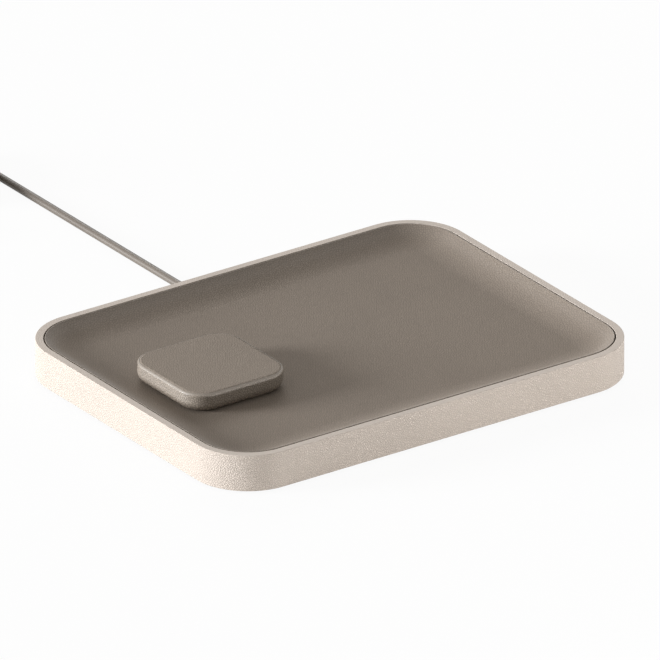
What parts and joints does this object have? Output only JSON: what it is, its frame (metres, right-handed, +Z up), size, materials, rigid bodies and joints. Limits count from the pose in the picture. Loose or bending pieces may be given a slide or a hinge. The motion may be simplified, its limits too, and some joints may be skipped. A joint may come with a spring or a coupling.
{
  "type": "charging station organizer",
  "caption": "Low rounded tray wrapped in leather, with a shallow dished floor, a raised square charging pad near one end and a lead that leaves the back.",
  "frame": {"origin": "on the table, under the middle of the tray, measured without the free lead", "axes": "+X along the long side away from the pad's end, +Y towards the back where the lead leaves, +Z up"},
  "size_m": [0.25, 0.4322, 0.0259],
  "materials": {
    "rim_leather": "fine pebbled, matte",
    "dish_leather": "smooth on the flats, pebbled on the pad's side",
    "inner_plastic": "moulded",
    "base_plastic": "fine texture",
    "foot_rubber": "matte",
    "screw_steel": "zinc plated",
    "ballast_steel": "plain",
    "ferrite": "matte",
    "winding_copper": "enamelled",
    "magnet_metal": "nickel plated",
    "board": "solder mask",
    "black_plastic": "moulded",
    "cord_jacket": "satin, smooth",
    "tie_fabric": "woven strap",
    "plug_metal": "polished"
  },
  "bodies": {
    "root": {"rim_leather": "rim_leather", "liner_leather": "dish_leather", "pad_side_leather": "dish_leather", "pad_top_leather": "dish_leather", "rim_frame": "inner_plastic", "tray_pan": "inner_plastic", "pad_shell": "inner_plastic", "pad_cover": "inner_plastic", "coil_carrier": "inner_plastic", "lead_clamp": "inner_plastic", "base_plate": "base_plastic", "feet": "foot_rubber", "base_screws": "screw_steel", "pad_screws": "screw_steel", "board_screws": "screw_steel", "clamp_screws": "screw_steel", "ballast_screws": "screw_steel", "ballast_plate": "ballast_steel", "shield_disc": "ferrite", "charging_coil": "winding_copper", "coil_leads": "winding_copper", "magnet_ring": "magnet_metal", "control_board": "board", "board_chips": "black_plastic", "lead_socket": "black_plastic", "plug_insert": "black_plastic", "power_lead": "cord_jacket", "strain_relief": "cord_jacket", "cord": "cord_jacket", "cord_coil": "cord_jacket", "cord_tail": "cord_jacket", "plug_grip": "cord_jacket", "coil_tie": "tie_fabric", "plug_shell": "plug_metal"}
  },
  "joints": []
}
